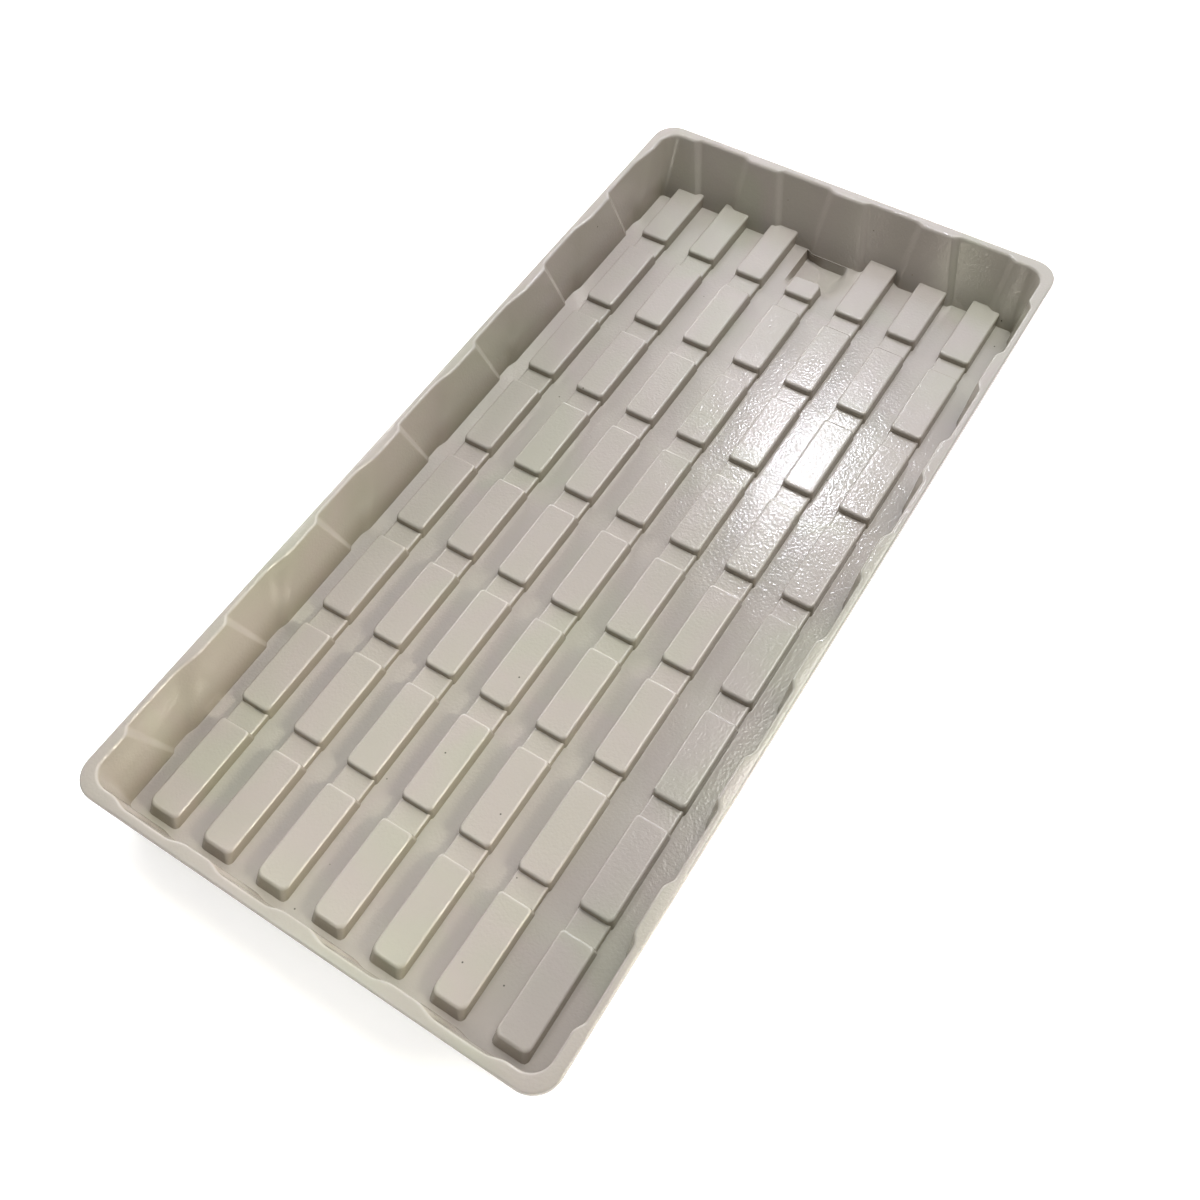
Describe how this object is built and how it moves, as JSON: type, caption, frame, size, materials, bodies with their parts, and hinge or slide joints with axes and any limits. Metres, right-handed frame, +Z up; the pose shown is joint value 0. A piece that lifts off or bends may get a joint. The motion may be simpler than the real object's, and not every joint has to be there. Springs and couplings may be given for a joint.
{
  "type": "plug tray",
  "caption": "Off-white formed plastic nursery tray with rows of raised blocks on ribs, drainage channels, a small sump at one end, corrugated sloping walls and a flanged rim.",
  "frame": {"origin": "on the ground below the middle of the rim, level with the underside of the sump", "axes": "+X across the tray, +Y along the tray towards the end with the sump, +Z up out of the open top"},
  "size_m": [0.3, 0.606, 0.048],
  "materials": {
    "tray_plastic": "satin-gloss formed sheet with a fine pebble grain"
  },
  "bodies": {
    "root": {"channel_1": "tray_plastic", "channel_2": "tray_plastic", "channel_3": "tray_plastic", "channel_4": "tray_plastic", "channel_5": "tray_plastic", "channel_6": "tray_plastic", "floor_left": "tray_plastic", "floor_near": "tray_plastic", "floor_right": "tray_plastic", "rib_1": "tray_plastic", "rib_2": "tray_plastic", "rib_3": "tray_plastic", "rib_4": "tray_plastic", "rib_5": "tray_plastic", "rib_6": "tray_plastic", "rib_7": "tray_plastic", "rim_corner_far_left": "tray_plastic", "rim_corner_far_right": "tray_plastic", "rim_corner_near_left": "tray_plastic", "rim_corner_near_right": "tray_plastic", "rim_far": "tray_plastic", "rim_left": "tray_plastic", "rim_near": "tray_plastic", "rim_right": "tray_plastic", "sump_far_side": "tray_plastic", "sump_floor": "tray_plastic", "sump_left_side": "tray_plastic", "sump_ramp": "tray_plastic", "sump_right_side": "tray_plastic", "wall_corner_far_left": "tray_plastic", "wall_corner_far_right": "tray_plastic", "wall_corner_near_left": "tray_plastic", "wall_corner_near_right": "tray_plastic", "wall_far": "tray_plastic", "wall_left": "tray_plastic", "wall_near": "tray_plastic", "wall_right": "tray_plastic"}
  },
  "joints": []
}
